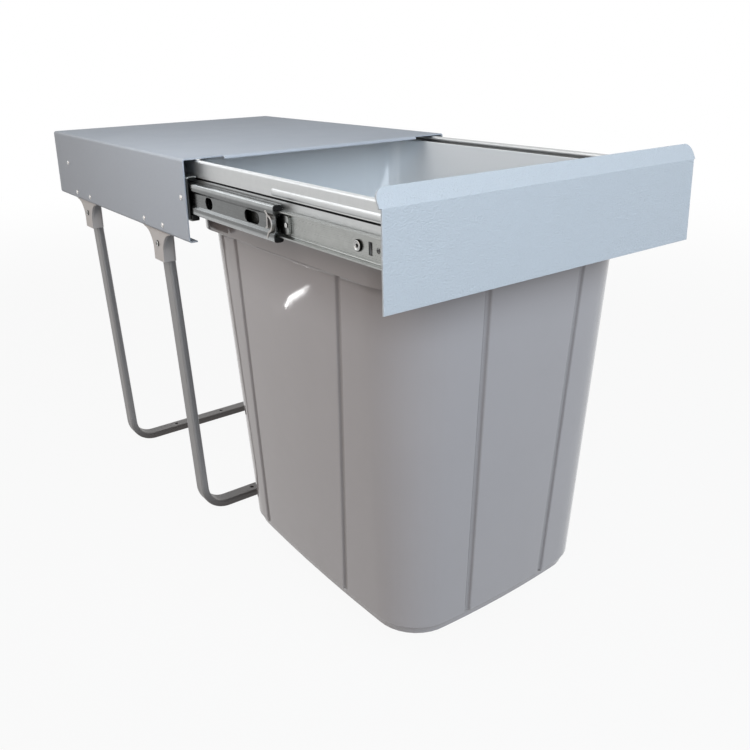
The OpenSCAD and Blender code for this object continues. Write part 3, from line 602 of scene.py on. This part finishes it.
# The finish of each slot
FINISHES = {
    "cover_steel": sprayed_steel(
        "cover_coat", dark=colour(0.304, 0.326, 0.362), light=colour(0.412, 0.440, 0.484),
        bare=colour(0.60, 0.61, 0.62), roughness=0.40, metallic=0.05, peel_scale=700.0, peel_depth=0.00014,
        spec=0.0),
    "panel_paint": sprayed_steel(
        "panel_coat", dark=colour(0.355, 0.383, 0.410), light=colour(0.428, 0.455, 0.486),
        bare=colour(0.75, 0.78, 0.82), roughness=0.46, metallic=0.12, peel_scale=750.0, peel_depth=0.00055,
        wear=0.35),
    # The legs: a painted dark reflection on their lower runs
    "leg_steel": sprayed_steel(
        "leg_coat", dark=colour(0.170, 0.167, 0.169), light=colour(0.255, 0.250, 0.252),
        bare=colour(0.36, 0.35, 0.34), roughness=0.40, metallic=0.30, peel_scale=800.0, peel_depth=0.00004,
        painted_dark=leg_reflection_mask),
    "bracket_plastic": moulded_plastic(
        "bracket_moulding", dark=colour(0.37, 0.350, 0.342), light=colour(0.44, 0.418, 0.408), roughness=0.46,
        skin_scale=900.0, skin_depth=0.00008),
    "black_plastic": moulded_plastic(
        "black_moulding", dark=colour(0.004, 0.004, 0.004), light=colour(0.010, 0.010, 0.010), roughness=0.60,
        skin_scale=900.0, skin_depth=0.00008, dusting=0.0, spec=0.15),
    # The bin: painted light makes its inside paler, and painted shade darkens its creases and collar
    "bin_plastic": moulded_plastic(
        "bin_moulding", dark=colour(0.272, 0.255, 0.258), light=colour(0.303, 0.284, 0.287), roughness=0.06,
        skin_scale=16.0, skin_depth=0.00080, coat=0.15, painted_light_inside=colour(0.60, 0.624, 0.644)),
    "slide_zinc": zinc_plate(
        "slide_strip", dark=colour(0.27, 0.277, 0.268), light=colour(0.42, 0.427, 0.414), roughness=0.28,
        across=1100.0, along=12.0, depth=0.00004),
    # The rails: painted shade in their groove
    "rail_zinc": zinc_plate(
        "rail_strip", dark=colour(0.47, 0.48, 0.482), light=colour(0.56, 0.57, 0.572), roughness=0.38,
        across=800.0, along=7.0, depth=0.00002, painted_dark=groove_shade_mask),
    # Rivets and screws: painted shade on their rims
    "fastener_steel": zinc_plate(
        "fastener_plate", dark=colour(0.46, 0.46, 0.455), light=colour(0.62, 0.62, 0.615), roughness=0.20,
        across=500.0, along=500.0, depth=0.00002, painted_dark=rim_shade_mask),
    "ball_steel": zinc_plate(
        "ball_polish", dark=colour(0.60, 0.60, 0.60), light=colour(0.72, 0.72, 0.72), roughness=0.18,
        across=600.0, along=600.0, depth=0.00001),
}

# Parts on both sides that differ from the rest of their slot
PAIR_FINISHES = {
    # Painted shade on the webs of the middle members
    "mid": zinc_plate(
        "mid_strip", dark=colour(0.25, 0.260, 0.262), light=colour(0.42, 0.432, 0.434), roughness=0.24,
        across=1100.0, along=12.0, depth=0.00004, painted_dark=web_shade_mask),
    # Painted shade on the front ends of the outer members
    "outer": zinc_plate(
        "outer_strip", dark=colour(0.25, 0.255, 0.245), light=colour(0.38, 0.385, 0.37), roughness=0.30,
        across=1100.0, along=12.0, depth=0.00004, painted_dark=end_shade_mask),
    # A painted shadow on the levers' hubs
    "lever": zinc_plate(
        "lever_plate", dark=colour(0.27, 0.277, 0.268), light=colour(0.42, 0.427, 0.414), roughness=0.28,
        across=1100.0, along=12.0, depth=0.00004, painted_dark=lever_shadow_mask, edge=0.0001),
    "catch": zinc_plate(
        "catch_spring", dark=colour(0.30, 0.285, 0.275), light=colour(0.46, 0.44, 0.425), roughness=0.30,
        across=500.0, along=500.0, depth=0.00003),
}
# Painted shade in and around the drawer's screw heads
DRAWER_SCREW_PLATE = zinc_plate(
    "drawer_screw", dark=colour(0.34, 0.34, 0.335), light=colour(0.50, 0.50, 0.495), roughness=0.22,
    across=500.0, along=500.0, depth=0.00002, painted_dark=screw_shade_mask)


def dress_nodes():
    """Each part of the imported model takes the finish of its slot, or its own where it differs from the slot."""
    for row in frame["record"]["subparts"]:
        mesh = NODES[row["node"]].data
        mesh.materials.clear()
        mesh.materials.append(FINISHES[row["material_slot"]])
    for part, finish in PAIR_FINISHES.items():
        for mark in SIDES:
            NODES[f"{part}_{mark}"].data.materials[0] = finish


# Pieces modelled here

def pick_only(piece):
    """Selects one piece alone and makes it active."""
    bpy.ops.object.select_all(action="DESELECT")
    piece.select_set(True)
    bpy.context.view_layer.objects.active = piece


def open_edit(piece, mode):
    """Edit mode on one piece, with nothing selected in it."""
    pick_only(piece)
    bpy.ops.object.mode_set(mode="EDIT")
    bpy.ops.mesh.select_mode(type=mode)
    bpy.ops.mesh.select_all(action="DESELECT")


def close_edit():
    bpy.ops.object.mode_set(mode="OBJECT")


def pick(piece, kind, test):
    """In edit mode, selects only the piece's edges or polygons that pass the test."""
    bpy.ops.object.mode_set(mode="OBJECT")
    mesh = piece.data
    for items in (mesh.vertices, mesh.edges, mesh.polygons):
        items.foreach_set("select", [False] * len(items))
    for item in getattr(mesh, kind):
        item.select = test(mesh, item)
    bpy.ops.object.mode_set(mode="EDIT")


def edge_length(mesh, edge):
    first, second = (mesh.vertices[i].co for i in edge.vertices)
    return (second - first).length


def keep_picked(piece, test):
    """In edit mode, drops from the selected edges those that fail the test."""
    bpy.ops.object.mode_set(mode="OBJECT")
    chosen = {e.index for e in piece.data.edges if e.select}
    pick(piece, "edges", lambda mesh, e: e.index in chosen and test(mesh, e))


def finish_mesh(piece, angle):
    """Smooth shading up to an angle, with large faces kept even."""
    pick_only(piece)
    bpy.ops.object.shade_smooth_by_angle(angle=math.radians(angle))
    piece.modifiers.new("even_faces", "WEIGHTED_NORMAL").keep_sharp = True
    bpy.ops.object.modifier_apply(modifier="even_faces")


def round_flutes(shell):
    """Rounds the long sharp edges of the bin's walls."""
    open_edit(shell, "EDGE")
    bpy.ops.mesh.edges_select_sharp(sharpness=math.radians(FLUTE_SHARP))
    keep_picked(shell, lambda mesh, e: edge_length(mesh, e) > FLUTE_LENGTH)
    bpy.ops.mesh.bevel(offset=FLUTE_ROUND, offset_type="OFFSET", segments=FLUTE_STEPS, profile=0.5,
                       affect="EDGES", clamp_overlap=False)
    close_edit()


def bin_shell():
    """The moulded bin, with rounded flutes."""
    shell = bpy.data.objects.new("bin_shell", NODES["bin"].data.copy())
    bpy.context.scene.collection.objects.link(shell)
    open_edit(shell, "EDGE")
    bpy.ops.mesh.select_all(action="SELECT")
    bpy.ops.mesh.remove_doubles(threshold=BIN_WELD)
    bpy.ops.mesh.tris_convert_to_quads(face_threshold=math.radians(BIN_FLAT),
                                       shape_threshold=math.radians(BIN_SKEW))
    close_edit()
    round_flutes(shell)
    finish_mesh(shell, BIN_SMOOTH)
    shell.data.materials.clear()
    shell.data.materials.append(FINISHES["bin_plastic"])
    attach(shell, "drawer")
    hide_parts("bin")


def sink_dish(pin, head_r, head_h):
    """Sinks a shallow dish into a screw's head."""
    open_edit(pin, "FACE")
    pick(pin, "polygons", lambda mesh, p: p.normal.z > LOOKS_UP)
    bpy.ops.mesh.inset(thickness=head_r * DISH_INSET)
    bpy.ops.mesh.extrude_region_move(TRANSFORM_OT_translate={"value": (0.0, 0.0, -head_h * DISH_DEPTH)})
    bpy.ops.transform.resize(value=(DISH_TAPER, DISH_TAPER, 1.0), center_override=(0.0, 0.0, 0.0))
    close_edit()


def cut_cross(pin, head_r, head_h):
    """Sinks a tapering cross into a screw's head."""
    for turn in (0.0, math.pi / 2):
        bpy.ops.object.select_all(action="DESELECT")
        bpy.ops.mesh.primitive_cube_add(size=1.0, location=(0.0, 0.0, head_h))
        arm = bpy.context.object
        arm.scale = (head_r * CROSS_ARM[0], head_r * CROSS_ARM[1], head_h * CROSS_ARM[2])
        arm.rotation_euler = (0.0, 0.0, turn + math.radians(CROSS_TURN))
        bpy.ops.object.transform_apply(location=True, rotation=True, scale=True)
        open_edit(arm, "FACE")
        pick(arm, "polygons", lambda mesh, p: p.normal.z < LOOKS_DOWN)
        bpy.ops.transform.resize(value=(CROSS_TAPER, CROSS_TAPER, 1.0), center_override=(0.0, 0.0, 0.0))
        close_edit()
        sink = pin.modifiers.new("cross", "BOOLEAN")
        sink.operation = "DIFFERENCE"
        sink.solver = "EXACT"
        sink.object = arm
        pick_only(pin)
        bpy.ops.object.modifier_apply(modifier="cross")
        bpy.data.objects.remove(arm)


def fastener(name, head, shank, recess):
    """A headed pin that points along +Z from the origin, with a rounded head and, on screws, a cross recess."""
    (head_r, head_h), (shank_r, shank_l) = head, shank
    bpy.ops.object.select_all(action="DESELECT")
    bpy.ops.mesh.primitive_cylinder_add(vertices=HEAD_SIDES, radius=head_r, depth=head_h,
                                        location=(0.0, 0.0, head_h / 2))
    pin = bpy.context.object
    pin.name = name
    bpy.ops.object.transform_apply(location=True, rotation=False, scale=False)
    open_edit(pin, "EDGE")
    pick(pin, "edges", lambda mesh, e: all(mesh.vertices[v].co.z > head_h * HEAD_TOP for v in e.vertices))
    bpy.ops.mesh.bevel(offset=head_h * HEAD_ROUND, offset_type="OFFSET", segments=HEAD_STEPS, profile=HEAD_PROFILE,
                       affect="EDGES")
    bpy.ops.mesh.select_mode(type="FACE")
    pick(pin, "polygons", lambda mesh, p: p.normal.z < LOOKS_DOWN)
    bpy.ops.mesh.inset(thickness=head_r - shank_r)
    bpy.ops.mesh.extrude_region_move(TRANSFORM_OT_translate={"value": (0.0, 0.0, -shank_l)})
    close_edit()
    if recess:
        sink_dish(pin, head_r, head_h)
        cut_cross(pin, head_r, head_h)
    return pin


def set_fastener(model, name, face, along, level, side, body, node, finish):
    """A copy of a fastener on an upright face of the left (-1) or right (1) side."""
    pin = bpy.data.objects.new(name, model.data.copy())
    bpy.context.scene.collection.objects.link(pin)
    lie = Matrix.Rotation(side * math.pi / 2, 4, "Y")
    pin.data.transform(Matrix.Translation((side * face, along, level)) @ lie)
    finish_mesh(pin, HEAD_SMOOTH)
    pin.data.materials.append(finish)
    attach(pin, body)
    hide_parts(node)


def fasteners():
    """The drawer's screws, the levers' pins and the brackets' screws."""
    drawer_screw = fastener("drawer_screw", DRAWER_SCREW_HEAD, DRAWER_SCREW_SHANK, True)
    lever_pin = fastener("lever_pin", LEVER_PIN_HEAD, LEVER_PIN_SHANK, False)
    socket_screw = fastener("socket_screw", SOCKET_SCREW_HEAD, SOCKET_SCREW_SHANK, True)
    plain = FINISHES["fastener_steel"]
    for mark, side in SIDES.items():
        node = f"rail_screws_{mark}"
        for end, along in zip(SCREW_ENDS, DRAWER_SCREW_PLACES):
            set_fastener(drawer_screw, f"drawer_screw_{end}_{mark}", DRAWER_SCREW_FACE, along, SLIDE_LEVEL, side,
                         "drawer", node, DRAWER_SCREW_PLATE)
        set_fastener(lever_pin, f"lever_pin_{mark}", LEVER_PIN_FACE, LEVER_PIN_PLACE, SLIDE_LEVEL, side,
                     "drawer", node, plain)
        for end, along in zip(SCREW_ENDS, SOCKET_SCREW_PLACES):
            set_fastener(socket_screw, f"socket_screw_{end}_{mark}", SOCKET_SCREW_FACE, along, SOCKET_SCREW_LEVEL,
                         side, "frame", "socket_screws", plain)
    for model in (drawer_screw, lever_pin, socket_screw):
        bpy.data.objects.remove(model)


# Stage: floor, light and camera

def seen_directly(tree):
    """1 for rays from the camera, from gloss or through glass, and 0 for light that falls on the object."""
    paths = add_node(tree, "ShaderNodeLightPath").outputs
    mirrored = math_node(tree, "MAXIMUM", paths["Is Glossy Ray"], paths["Is Transmission Ray"])
    return math_node(tree, "MAXIMUM", paths["Is Camera Ray"], mirrored)


def pale_floor():
    """A pale floor that fades into the white room and keeps a faint shadow."""
    bpy.ops.object.select_all(action="DESELECT")
    bpy.ops.mesh.primitive_plane_add(size=FLOOR_SIZE, location=(0.0, 0.0, FLOOR_LEVEL))
    floor = bpy.context.object
    floor.name = "floor"
    finish, tree, shader = new_finish("floor_white")
    shader.inputs["Base Color"].default_value = colour(FLOOR_TONE, FLOOR_TONE, FLOOR_TONE)
    shader.inputs["Roughness"].default_value = FLOOR_ROUGHNESS
    shader.inputs["Specular IOR Level"].default_value = 0.0
    away = add_node(tree, "ShaderNodeVectorMath", operation="LENGTH")
    link(tree, object_place(tree), away.inputs[0])
    far = eased(tree, away.outputs["Value"], FLOOR_FADE, 1.0 - FLOOR_GLOW)
    paled = math_node(tree, "ADD", far, FLOOR_GLOW)
    glow = add_node(tree, "ShaderNodeEmission", {"Color": WHITE, "Strength": 1.0})
    mixed = add_node(tree, "ShaderNodeMixShader")
    link(tree, math_node(tree, "MULTIPLY", seen_directly(tree), paled), mixed.inputs[0])
    link(tree, shader.outputs["BSDF"], mixed.inputs[1])
    link(tree, glow.outputs["Emission"], mixed.inputs[2])
    link(tree, mixed.outputs["Shader"], tree.nodes["Material Output"].inputs["Surface"])
    floor.data.materials.append(finish)


def white_room():
    """A room that looks white, and lights the object at its own level."""
    world = bpy.data.worlds.new("white_room")
    bpy.context.scene.world = world
    world.use_nodes = True
    tree = world.node_tree
    sky = tree.nodes["Background"]
    sky.inputs["Color"].default_value = WHITE
    link(tree, spread(tree, seen_directly(tree), WORLD_LEVEL, 1.0), sky.inputs["Strength"])


def soft_lamp(name, place, aim, size, power, tint):
    """A rectangular area lamp that the camera doesn't see."""
    lamp = bpy.data.lights.new(name, "AREA")
    lamp.shape = "RECTANGLE"
    lamp.size, lamp.size_y = size
    lamp.energy = power
    lamp.color = tint
    holder = bpy.data.objects.new(name, lamp)
    bpy.context.scene.collection.objects.link(holder)
    holder.location = place
    holder.rotation_euler = (Vector(aim) - Vector(place)).to_track_quat("-Z", "Y").to_euler()
    holder.visible_camera = False


def photo_camera():
    """The camera at the photograph's viewing angle."""
    lens = bpy.data.cameras.new("photo_camera")
    lens.lens = CAMERA_LENS
    lens.sensor_width = CAMERA_SENSOR
    lens.shift_y = CAMERA_SHIFT_Y
    holder = bpy.data.objects.new("photo_camera", lens)
    bpy.context.scene.collection.objects.link(holder)
    turn = Matrix.Rotation(math.radians(CAMERA_TURN), 4, "Z")
    tilt = Matrix.Rotation(math.radians(90.0 + CAMERA_TILT), 4, "X")
    roll = Matrix.Rotation(math.radians(CAMERA_ROLL), 4, "Z")
    holder.matrix_world = Matrix.Translation(CAMERA_PLACE) @ turn @ tilt @ roll
    bpy.context.scene.camera = holder


bpy.ops.object.select_all(action="DESELECT")
bpy.context.scene.view_settings.view_transform = "Standard"
photo_camera()
white_room()
for lamp_name, lamp_values in LAMPS.items():
    soft_lamp(lamp_name, **lamp_values)
pale_floor()
dress_nodes()
bin_shell()
fasteners()
